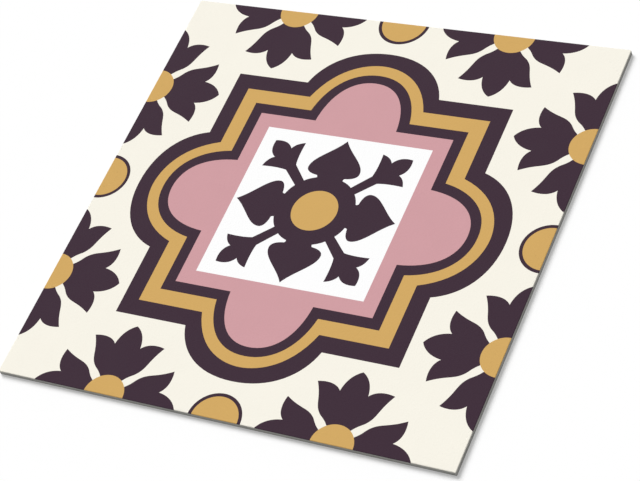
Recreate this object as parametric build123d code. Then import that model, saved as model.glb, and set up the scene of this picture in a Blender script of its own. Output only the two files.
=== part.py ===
from build123d import *
import os

# Vinyl floor tile: a square die-cut from flat sheet, lying face up.
# Millimetres. The origin is the middle of the underside and +Z is up,
# so the back lies on z = 0 and the printed wear face is at z = THICKNESS.

SIDE = 304.8            # cut size along X and along Y, the 12 inch module
THICKNESS = 3.5         # back to wear face
CORNER_RADIUS = 0.6     # the die's corners, seen from above
FACE_ROLLOVER = 0.4     # radius that the knife rolls onto the wear face's edge
BACK_BREAK = 0.15       # small break that handling leaves on the back's edge


def tile_blank():
    """The square that the die cuts, through the full sheet."""
    with BuildSketch() as outline:
        RectangleRounded(SIDE, SIDE, CORNER_RADIUS)
    return extrude(outline.sketch, amount=THICKNESS)


def ease_edges(blank):
    """Roll the wear face's edge over and break the back's edge."""
    face_edge = blank.faces().sort_by(Axis.Z)[-1].outer_wire().edges()
    rolled = fillet(face_edge, FACE_ROLLOVER)
    back_edge = rolled.faces().sort_by(Axis.Z)[0].outer_wire().edges()
    return chamfer(back_edge, BACK_BREAK)


tile = ease_edges(tile_blank())
tile.label = "tile"

os.makedirs("parts", exist_ok=True)
export_step(tile, "parts/tile.step")

box = tile.bounding_box()
print("tile", round(box.size.X, 3), "x", round(box.size.Y, 3), "x", round(box.size.Z, 3), "mm,",
      round(tile.volume / 1000, 2), "cm3, valid", tile.is_valid)
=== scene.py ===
import math

import bpy
from mathutils import Matrix, Vector
from mathutils.geometry import delaunay_2d_cdt, interpolate_bezier


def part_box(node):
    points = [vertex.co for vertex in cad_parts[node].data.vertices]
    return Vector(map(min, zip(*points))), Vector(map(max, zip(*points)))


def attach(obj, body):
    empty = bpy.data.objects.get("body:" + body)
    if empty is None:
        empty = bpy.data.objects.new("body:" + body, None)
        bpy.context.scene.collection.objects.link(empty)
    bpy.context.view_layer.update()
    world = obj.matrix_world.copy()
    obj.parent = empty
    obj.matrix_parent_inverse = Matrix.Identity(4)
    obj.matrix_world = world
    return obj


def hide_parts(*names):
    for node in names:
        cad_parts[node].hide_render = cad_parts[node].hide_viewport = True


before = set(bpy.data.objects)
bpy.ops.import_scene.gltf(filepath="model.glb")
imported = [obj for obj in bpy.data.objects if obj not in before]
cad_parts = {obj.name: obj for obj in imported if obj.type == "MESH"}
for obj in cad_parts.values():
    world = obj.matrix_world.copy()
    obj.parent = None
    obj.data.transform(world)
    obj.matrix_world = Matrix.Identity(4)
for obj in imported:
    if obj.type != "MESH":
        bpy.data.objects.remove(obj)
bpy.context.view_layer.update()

# The tile's face is a film printed by gravure in flat inks, under a wear layer of clear vinyl
# with a matt coat, calendered with a shallow pebble. The gravure cells leave the inks a
# little uneven. Each ink is a material, and what lies over them all is a group.
MM = 0.001


def add_node(tree, kind, inputs, **settings):
    """Adds a node. Each input is given its value, or the output that feeds it."""
    node = tree.nodes.new(kind)
    for name, setting in settings.items():
        setattr(node, name, setting)
    for name, value in inputs.items():
        if isinstance(value, bpy.types.NodeSocket):
            tree.links.new(value, node.inputs[name])
        else:
            node.inputs[name].default_value = value
    return node


def new_group(name, takes, gives):
    """A shader node group, with the nodes of its inputs and outputs."""
    group = bpy.data.node_groups.new(name, "ShaderNodeTree")
    for label, kind in takes.items():
        group.interface.new_socket(label, in_out="INPUT", socket_type="NodeSocket" + kind)
    for label, kind in gives.items():
        group.interface.new_socket(label, in_out="OUTPUT", socket_type="NodeSocket" + kind)
    return group, add_node(group, "NodeGroupInput", {}), add_node(group, "NodeGroupOutput", {})


film, given, made = new_group(
    "printed film and wear layer",
    {"Place": "Vector", "Ink": "Color", "Unevenness": "Float"},
    {"Colour": "Color", "Roughness": "Float", "Relief": "Float"})
place = given.outputs["Place"]
cells = add_node(film, "ShaderNodeTexNoise", {"Vector": place, "Scale": 1700, "Detail": 1},
                 noise_dimensions="2D")
clouds = add_node(film, "ShaderNodeTexNoise", {"Vector": place, "Scale": 55, "Detail": 2},
                  noise_dimensions="2D")
ink_film = add_node(film, "ShaderNodeMath", {0: cells.outputs["Fac"], 1: clouds.outputs["Fac"]},
                    operation="ADD")
thinner = add_node(film, "ShaderNodeMath", {0: ink_film.outputs[0], 1: 1}, operation="SUBTRACT")
lightness = add_node(film, "ShaderNodeMath",
                     {0: thinner.outputs[0], 1: given.outputs["Unevenness"], 2: 1},
                     operation="MULTIPLY_ADD")
inked = add_node(film, "ShaderNodeVectorMath",
                 {0: given.outputs["Ink"], "Scale": lightness.outputs[0]}, operation="SCALE")
pebbles = add_node(film, "ShaderNodeTexVoronoi",
                   {"Vector": place, "Scale": 1100, "Smoothness": 0.4},
                   voronoi_dimensions="2D", feature="SMOOTH_F1")
polish = add_node(film, "ShaderNodeMath",
                  {0: clouds.outputs["Fac"], 1: pebbles.outputs["Distance"]}, operation="ADD")
matt = add_node(film, "ShaderNodeMapRange",
                {"Value": polish.outputs[0], "From Min": 0.4, "From Max": 1.3,
                 "To Min": 0.56, "To Max": 0.68})
film.links.new(inked.outputs[0], made.inputs["Colour"])
film.links.new(matt.outputs[0], made.inputs["Roughness"])
film.links.new(pebbles.outputs["Distance"], made.inputs["Relief"])


def srgb(red, green, blue):
    """The linear value of a colour that is given as it looks, from 0 to 255."""
    def linear(level):
        level /= 255
        return level / 12.92 if level <= 0.04045 else ((level + 0.055) / 1.055) ** 2.4
    return (linear(red), linear(green), linear(blue), 1)


def new_material(name, gloss):
    """A material, and its shader."""
    material = bpy.data.materials.new(name)
    material.use_nodes = True
    shader = material.node_tree.nodes["Principled BSDF"]
    shader.inputs["Specular IOR Level"].default_value = gloss
    return material, shader


def vinyl(name, group, **values):
    """A material that takes its colour and roughness from a group, placed by the object's own
    coordinates. Its relief is still to come."""
    material, shader = new_material(name, gloss=0.2)
    tree = material.node_tree
    place = add_node(tree, "ShaderNodeTexCoord", {}).outputs["Object"]
    finish = add_node(tree, "ShaderNodeGroup", {"Place": place, **values}, node_tree=group)
    tree.links.new(finish.outputs["Colour"], shader.inputs["Base Color"])
    tree.links.new(finish.outputs["Roughness"], shader.inputs["Roughness"])
    return material, finish, place


def emboss(material, height, depth):
    """Gives a material its relief: a height from 0 to 1, and its depth in millimetres."""
    tree = material.node_tree
    relief = add_node(tree, "ShaderNodeBump", {"Height": height, "Distance": depth * MM})
    tree.links.new(relief.outputs["Normal"], tree.nodes["Principled BSDF"].inputs["Normal"])


def printed(name, colour, unevenness):
    """The material of one ink under the wear layer."""
    material, finish, _ = vinyl(name, film, Ink=srgb(*colour), Unevenness=unevenness)
    emboss(material, finish.outputs["Relief"], depth=0.05)
    return material


cream = printed("cream ink", (248, 244, 232), unevenness=0.02)
aubergine = printed("aubergine ink", (57, 40, 52), unevenness=0.08)
ochre = printed("ochre ink", (210, 169, 100), unevenness=0.04)
pink = printed("pink ink", (208, 158, 163), unevenness=0.04)
white = printed("white ink", (254, 254, 254), unevenness=0.01)

# The artwork is a traditional cement-tile ornament on a cream ground. It is drawn here in
# millimetres from the tile's middle, as closed outlines, and an ink that is printed later
# covers the ones before it.
box_low, box_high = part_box("tile")
SIDE = round((box_high.x - box_low.x) / MM, ndigits=3)
CURVE_POINTS = 17       # along each curve, with both its ends
DISC_CORNERS = 96
prints = []             # (ink, outline), in the order of printing


def drawn(start, *strokes):
    """The points of a drawn line. A stroke is the point that a straight line runs to, or
    the two handles and the end of a curve."""
    line = [Vector(start)]
    for stroke in strokes:
        if len(stroke) == 3:
            leaving, arriving, end = (Vector(point) for point in stroke)
            line += interpolate_bezier(line[-1], leaving, arriving, end, CURVE_POINTS)[1:]
        else:
            line.append(Vector(stroke))
    return line


def turned(outline, quarters):
    """The outline turned about the middle by so many quarter turns."""
    turn = Matrix.Rotation(math.pi / 2 * quarters, 2)
    return [turn @ point for point in outline]


def moved(outline, x, y):
    """The outline with its middle moved to a place on the tile."""
    return [point + Vector((x, y)) for point in outline]


def eightfold(eighth):
    """Closes a line drawn from the X axis to the diagonal. Its mirror image in the diagonal
    completes a quarter, which is turned round the middle."""
    quarter = eighth + [point.yx for point in reversed(eighth[:-1])]
    return [point for quarters in range(4) for point in turned(quarter[:-1], quarters)]


def twofold(half):
    """Closes a line drawn from the X axis and back to it, with its mirror image."""
    return half + [Vector((x, -y)) for x, y in reversed(half[1:-1])]


def disc(radius):
    """A round outline, fine enough to look round from close by."""
    angles = (2 * math.pi * corner / DISC_CORNERS for corner in range(DISC_CORNERS))
    return [Vector((radius * math.cos(angle), radius * math.sin(angle))) for angle in angles]


# The frame is four outlines nested in each other, each a square with a lobe on every side:
# a broad aubergine band, an ochre one, a narrow aubergine one, and the pink field inside.
prints.append((aubergine, eightfold(drawn(
    (126.2, 0), ((126.2, 25), (113.2, 40.9), (95.7, 46.1)), (95.7, 95.7)))))
prints.append((ochre, eightfold(drawn(
    (116, 0), ((116, 8.5), (112.6, 29.9), (84.6, 39.7)), (84.6, 84.6)))))
prints.append((aubergine, eightfold(drawn(
    (108.2, 0), ((108.2, 20.5), (92.2, 31.5), (74.2, 34.4)), (74.2, 74.2)))))
prints.append((pink, eightfold(drawn(
    (101.8, 0), ((101.8, 16.4), (88.5, 26.6), (66.9, 28.1)), (66.9, 66.9)))))

# The rosette stands on a white square. It is one aubergine silhouette, a disc with a spade
# on each axis and a three-leaved sprig on each diagonal, and has an ochre eye.
prints.append((white, eightfold(drawn((57, 0), (57, 57)))))
prints.append((aubergine, eightfold(drawn(
    (54.6, 0),
    ((45.4, 5.6), (39.1, 17.8), (31.5, 17.8)),
    ((27.6, 17.8), (26.5, 12.8), (26.2, 9.6)),
    ((26, 9.2), (25, 8.6), (24.4, 9)),
    ((23.6, 11.4), (22.5, 14), (20.6, 16.2)),
    (31.4, 26.4),
    ((36, 27.4), (43, 27.4), (48.7, 26.9)),
    ((47.6, 31.3), (45.8, 33.5), (43.1, 34.9)),
    ((46.4, 36.9), (48.8, 40.8), (47.6, 47.6))))))
prints.append((ochre, disc(radius=15.1)))

# Half flowers stand along each side, a quarter of its length from the corners, and the next
# tile completes them: four tulip petals round an ochre eye. A ringed dot lies between them.
petal = twofold(drawn(
    (49.4, 0),
    ((46.5, 5.5), (41, 8.3), (34.8, 9)),
    ((39.3, 12.6), (39.5, 19.3), (38.1, 24.6)),
    ((27, 17.9), (22.8, 20), (17.3, 14.3)),
    ((16.1, 13), (14.7, 10.3), (11.5, 7.9)),
    (6, 0)))
for side in range(4):
    for along in (-SIDE / 4, SIDE / 4):
        for quarters in range(4):
            set_petal = moved(turned(petal, quarters), SIDE / 2, along)
            prints.append((aubergine, turned(set_petal, side)))
        prints.append((ochre, turned(moved(disc(radius=13.5), SIDE / 2, along), side)))
    prints.append((aubergine, turned(moved(disc(radius=17.4), SIDE / 2, 0), side)))
    prints.append((ochre, turned(moved(disc(radius=15.2), SIDE / 2, 0), side)))

# The body under the film shows on the sides and the back: grey vinyl with pale grains of
# limestone. The knife leaves fine upright lines, and the carrier belt a shallow linen print
# on the back. Both marks also get painted shade in their colour: darker where they are deep,
# a little lighter where they stand high.
body, given, made = new_group(
    "limestone-filled vinyl",
    {"Place": "Vector", "Grey": "Color", "Marks": "Float"},
    {"Colour": "Color", "Roughness": "Float"})
place = given.outputs["Place"]
grains = add_node(body, "ShaderNodeTexNoise", {"Vector": place, "Scale": 3400, "Detail": 3})
bared = add_node(body, "ShaderNodeMapRange",
                 {"Value": grains.outputs["Fac"], "From Min": 0.57, "From Max": 0.7,
                  "To Min": 1, "To Max": 1.22})
clouds = add_node(body, "ShaderNodeTexNoise", {"Vector": place, "Scale": 90, "Detail": 4})
blended = add_node(body, "ShaderNodeMapRange",
                   {"Value": clouds.outputs["Fac"], "From Min": 0.3, "From Max": 0.7,
                    "To Min": 0.94, "To Max": 1.06})
# painted shade in the marks: the colour darkens where a mark is deep and lightens where it
# stands high
painted_mark_shade = add_node(body, "ShaderNodeMapRange",
                  {"Value": given.outputs["Marks"], "To Min": 0.92, "To Max": 1.06})
mottled = add_node(body, "ShaderNodeMath", {0: bared.outputs[0], 1: blended.outputs[0]},
                   operation="MULTIPLY")
lightness = add_node(body, "ShaderNodeMath", {0: mottled.outputs[0], 1: painted_mark_shade.outputs[0]},
                     operation="MULTIPLY")
coloured = add_node(body, "ShaderNodeVectorMath",
                    {0: given.outputs["Grey"], "Scale": lightness.outputs[0]}, operation="SCALE")
dull = add_node(body, "ShaderNodeMapRange",
                {"Value": grains.outputs["Fac"], "From Min": 0.3, "From Max": 0.7,
                 "To Min": 0.66, "To Max": 0.84})
body.links.new(coloured.outputs[0], made.inputs["Colour"])
body.links.new(dull.outputs[0], made.inputs["Roughness"])

cut_side, finish, place = vinyl("cut side", body, Grey=srgb(170, 169, 164))
tree = cut_side.node_tree
upright = add_node(tree, "ShaderNodeMapping", {"Vector": place, "Scale": (1, 1, 0.04)})
knife_lines = add_node(tree, "ShaderNodeTexNoise",
                       {"Vector": upright.outputs[0], "Scale": 1800, "Detail": 3})
tree.links.new(knife_lines.outputs["Fac"], finish.inputs["Marks"])
emboss(cut_side, knife_lines.outputs["Fac"], depth=0.035)

back, finish, place = vinyl("calendered back", body, Grey=srgb(160, 159, 155))
tree = back.node_tree
warp, weft = (
    add_node(tree, "ShaderNodeTexWave", {"Vector": place, "Scale": 260, "Distortion": 0.6},
             bands_direction=direction) for direction in "XY")
linen = add_node(tree, "ShaderNodeMath", {0: warp.outputs["Fac"], 1: weft.outputs["Fac"]},
                 operation="MULTIPLY")
tree.links.new(linen.outputs[0], finish.inputs["Marks"])
emboss(back, linen.outputs[0], depth=0.056)

# The tile is die-cut from the sheet, film and body together. The knife rolls the edge of the
# face over and cuts the sides straight, through the artwork. The face is flush, and only the
# inks part it. Sizes are in millimetres.
THICKNESS = round((box_high.z - box_low.z) / MM, ndigits=3)
CORNER_RADIUS = 0.6
CORNER_STEPS = 6
FACE_ROLLOVER = 0.4
ROLLOVER_STEPS = 4
BACK_BREAK = 0.15


def die_line(inset):
    """The outline that the die cuts, or the line that runs so far inside it."""
    radius = CORNER_RADIUS - inset
    centre = SIDE / 2 - CORNER_RADIUS
    angles = (math.pi / 2 * step / CORNER_STEPS for step in range(CORNER_STEPS + 1))
    corner = [Vector((centre + radius * math.cos(angle), centre + radius * math.sin(angle)))
              for angle in angles]
    return [point for quarters in range(4) for point in turned(corner, quarters)]


def face_height(x, y):
    """The height of the face at a point: level, and round where the knife rolled it over. The
    curve ends upright, so the rim is only level if its distance is rounded."""
    beyond_x = abs(x) - (SIDE / 2 - CORNER_RADIUS)
    beyond_y = abs(y) - (SIDE / 2 - CORNER_RADIUS)
    if beyond_x > 0 and beyond_y > 0:
        outwards = math.hypot(beyond_x, beyond_y)
    else:
        outwards = max(beyond_x, beyond_y)
    rolled = round(outwards - (CORNER_RADIUS - FACE_ROLLOVER), ndigits=4)
    rolled = min(max(rolled, 0), FACE_ROLLOVER)
    return THICKNESS - FACE_ROLLOVER + math.sqrt(FACE_ROLLOVER ** 2 - rolled ** 2)


# The outlines are laid over each other and divide the face into patches, each of the ink
# that was printed there last. The cream ground reaches out to the die line, in rims that
# round its edge, and the two middle lines of the tile keep each patch within one quarter.
DIE_LINE = 0            # the first ring, and what is printed beyond it is cut away
WITHIN_RINGS = 1        # leaves out the patches that no ring goes around
NEARNESS = 1e-4         # points closer together than this are one
turns = (math.radians(90 * step / ROLLOVER_STEPS) for step in range(ROLLOVER_STEPS + 1))
rims = [(cream, die_line(FACE_ROLLOVER * (1 - math.cos(turn)))) for turn in turns]
outlines = rims + prints
points = [Vector(end) * SIDE / 2 for end in ((-1, 0), (1, 0), (0, -1), (0, 1))]
middle_lines = [(0, 1), (2, 3)]
rings = []
for _, outline in outlines:
    rings.append(range(len(points), len(points) + len(outline)))
    points += outline
points, _, patches, _, _, rings_around = delaunay_2d_cdt(
    points, middle_lines, rings, WITHIN_RINGS, NEARNESS, True)
face_patches = [(patch, around) for patch, around in zip(patches, rings_around)
                if DIE_LINE in around]

mesh = bpy.data.meshes.new("printed_tile")
mesh.from_pydata([(x * MM, y * MM, face_height(x, y) * MM) for x, y in points], [],
                 [patch for patch, _ in face_patches])
for material in (cream, aubergine, ochre, pink, white, cut_side, back):
    mesh.materials.append(material)
for face, (_, around) in zip(mesh.polygons, face_patches):
    ink, _ = outlines[max(around)]
    face.material_index = mesh.materials.find(ink.name)
tile = bpy.data.objects.new("printed_tile", mesh)
bpy.context.scene.collection.objects.link(tile)

# The sides run straight down from the rim of the face, and in a little at the foot, where the
# back's edge is broken. The back closes them.
FACES_DOWN = -0.99      # the back's normal lies below this
bpy.ops.object.select_all(action="DESELECT")
tile.select_set(True)
bpy.context.view_layer.objects.active = tile
bpy.ops.object.mode_set(mode="EDIT")
bpy.ops.mesh.select_all(action="SELECT")
bpy.ops.mesh.delete_loose()
bpy.ops.mesh.select_mode(type="EDGE")
bpy.ops.mesh.select_all(action="DESELECT")
bpy.ops.mesh.select_non_manifold()
cut_height = THICKNESS - FACE_ROLLOVER - BACK_BREAK
drawn_in = 1 - 2 * BACK_BREAK / SIDE
bpy.ops.mesh.extrude_region_move(TRANSFORM_OT_translate={"value": (0, 0, -cut_height * MM)})
bpy.ops.mesh.extrude_region_move(TRANSFORM_OT_translate={"value": (0, 0, -BACK_BREAK * MM)})
bpy.ops.transform.resize(value=(drawn_in, drawn_in, 1), center_override=(0, 0, 0))
bpy.ops.mesh.edge_face_add()
bpy.ops.mesh.select_all(action="SELECT")
bpy.ops.mesh.normals_make_consistent(inside=False)
bpy.ops.object.mode_set(mode="OBJECT")
for face in mesh.polygons:
    if face.normal.z < FACES_DOWN:
        face.material_index = mesh.materials.find(back.name)
    elif face.center.z < (THICKNESS - FACE_ROLLOVER) * MM:
        face.material_index = mesh.materials.find(cut_side.name)
bpy.ops.object.shade_smooth_by_angle(angle=math.radians(30))
bpy.ops.object.modifier_add(type="WEIGHTED_NORMAL")
bpy.ops.object.modifier_apply(modifier=tile.modifiers[0].name)

# For baked textures the tile is laid out flat. The quarters of the face are mirror images, so
# they share one large square, and the halves of the four sides share one strip below it. The
# back is small beside them. The sizes here are shares of the texture's width.
QUARTER_WIDTH, QUARTER_CORNER = 0.91, Vector((0.01, 0.07))
STRIP_LENGTH, STRIP_HEIGHT, STRIP_CORNER = 0.97, 0.03, Vector((0.01, 0.01))
BACK_WIDTH, BACK_MIDDLE = 0.06, Vector((0.96, 0.94))
unwrapped = mesh.uv_layers.new(name="OFBake")
for face in mesh.polygons:
    material = mesh.materials[face.material_index]
    for corner in face.loop_indices:
        x, y, z = mesh.vertices[mesh.loops[corner].vertex_index].co / MM
        if material == back:
            spot = BACK_MIDDLE + Vector((x, -y)) * BACK_WIDTH / SIDE
        elif material == cut_side:
            along, up = min(abs(x), abs(y)) / (SIDE / 2), z / THICKNESS
            spot = STRIP_CORNER + Vector((along * STRIP_LENGTH, up * STRIP_HEIGHT))
        else:
            spot = QUARTER_CORNER + Vector((abs(x), abs(y))) * QUARTER_WIDTH / (SIDE / 2)
        unwrapped.data[corner].uv = spot

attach(tile, "root")
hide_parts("tile")


# The studio is white: a paper floor that keeps the tile's soft shadow, under a pale sky. The
# camera and gloss see both as white. Of that white the sky gives the share SKY as light, and
# the floor's glow gives none.
def shows_white(tree):
    """1 for the rays that look at the studio, and 0 for those that light things from it."""
    rays = add_node(tree, "ShaderNodeLightPath", {})
    looks = rays.outputs["Is Camera Ray"]
    for kind in ("Is Glossy Ray", "Is Transmission Ray"):
        looks = add_node(tree, "ShaderNodeMath", {0: looks, 1: rays.outputs[kind]},
                         operation="MAXIMUM").outputs[0]
    return looks


SKY = 0.3
FLOOR_GLOW = 0.25
bpy.ops.object.select_all(action="DESELECT")
bpy.ops.mesh.primitive_plane_add(size=12, location=(0, 0, 0))
floor = bpy.context.object
floor.name = "floor"
paper, shader = new_material("white paper", gloss=0)
shader.inputs["Roughness"].default_value = 1
shader.inputs["Base Color"].default_value = (1 - FLOOR_GLOW,) * 3 + (1,)
shader.inputs["Emission Color"].default_value = (1, 1, 1, 1)
tree = paper.node_tree
glow = add_node(tree, "ShaderNodeMath", {0: shows_white(tree), 1: FLOOR_GLOW},
                operation="MULTIPLY")
tree.links.new(glow.outputs[0], shader.inputs["Emission Strength"])
floor.data.materials.append(paper)

world = bpy.data.worlds.new("white studio")
world.use_nodes = True
tree = world.node_tree
tree.nodes["Background"].inputs["Color"].default_value = (1, 1, 1, 1)
strength = add_node(tree, "ShaderNodeMapRange",
                    {"Value": shows_white(tree), "To Min": SKY, "To Max": 1})
tree.links.new(strength.outputs[0], tree.nodes["Background"].inputs["Strength"])
bpy.context.scene.world = world

# One large soft lamp hangs beyond the tile's far corner, and gives what the sky leaves of a
# level at which a colour renders as it is. Its shadows fall short, along the near sides.
LAMP_FROM = Vector((-1, 0.84, 1.24)).normalized()
lamp = bpy.data.lights.new("soft lamp", "SUN")
lamp.angle = math.radians(34)
lamp.energy = (1 - SKY) * math.pi / LAMP_FROM.z
soft_lamp = bpy.data.objects.new("soft lamp", lamp)
soft_lamp.rotation_euler = LAMP_FROM.to_track_quat("Z", "Y").to_euler()
soft_lamp.visible_glossy = False
bpy.context.scene.collection.objects.link(soft_lamp)

# The camera looks down from beyond the near corner, rolled so that the picture leans, and
# shifted a little because the picture is cut from a wider one.
AZIMUTH, ELEVATION, ROLL = (math.radians(angle) for angle in (45.82, 49.1, -27.48))
AIM = Vector((-17.9, -50.7, THICKNESS)) * MM
DISTANCE = 1.267        # in metres
lens = bpy.data.cameras.new("camera")
lens.lens = 118.68
lens.sensor_width = 36
lens.shift_x = 0.1
lens.shift_y = 0.05
level_view = Matrix.Rotation(AZIMUTH, 3, "Z") @ Matrix.Rotation(math.pi / 2 - ELEVATION, 3, "X")
camera = bpy.data.objects.new("camera", lens)
camera.location = AIM + level_view @ Vector((0, 0, DISTANCE))
camera.rotation_euler = (level_view @ Matrix.Rotation(ROLL, 3, "Z")).to_euler()
bpy.context.scene.collection.objects.link(camera)
bpy.context.scene.camera = camera
bpy.context.scene.view_settings.view_transform = "Standard"
